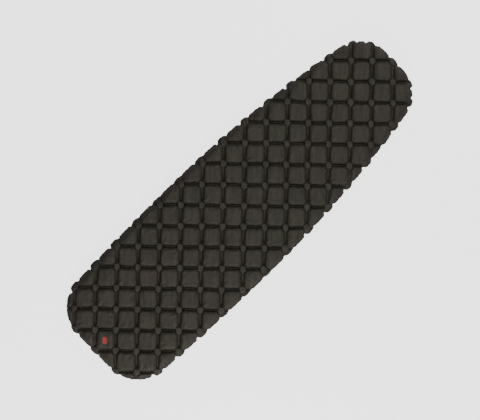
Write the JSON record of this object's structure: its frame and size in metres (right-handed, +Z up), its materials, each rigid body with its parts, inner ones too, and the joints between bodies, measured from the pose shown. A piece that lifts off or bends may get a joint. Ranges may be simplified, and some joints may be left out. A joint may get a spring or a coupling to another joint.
{
  "type": "inflatable sleeping pad",
  "caption": "Tapered camping air mattress of two fabric sheets welded into square puffed cells, with a flat two-stage valve underneath at the head end.",
  "frame": {"origin": "on the ground under the middle of the pad", "axes": "+Y from the head end to the foot end, +X across the pad, +Z up"},
  "size_m": [0.6, 1.9, 0.0606],
  "materials": {
    "fabric": "coated ripstop, dark charcoal",
    "mark_film": "satin red film",
    "valve_plastic": "satin black",
    "silicone": "translucent grey"
  },
  "bodies": {
    "pad": {"top_sheet": "fabric", "bottom_sheet": "fabric", "head_mark": "mark_film", "valve_doubler": "fabric", "valve_base": "valve_plastic", "anti_block_cage": "valve_plastic", "tether_ring": "valve_plastic"},
    "plug": {"plug_strap": "valve_plastic", "valve_plug": "valve_plastic", "plug_seal": "silicone", "flap_stud": "valve_plastic"},
    "flap": {"valve_flap": "silicone"},
    "cap": {"cap_strap": "valve_plastic", "valve_cap": "valve_plastic", "cap_seal": "silicone"}
  },
  "joints": [
    {"name": "plug_hinge", "type": "hinge", "parent": "pad", "child": "plug", "pos_m": [0.1605, -0.73975, 0.01615], "axis": [0, -1, 0], "range_deg": [0, 110]},
    {"name": "cap_hinge", "type": "hinge", "parent": "plug", "child": "cap", "pos_m": [0.1133, -0.73975, 0.01375], "axis": [0, 1, 0], "range_deg": [0, 150]},
    {"name": "flap_lift", "type": "slide", "parent": "plug", "child": "flap", "axis": [0, 0, 1], "range_m": [0, 0.002], "stiffness_N_per_m": 5}
  ]
}
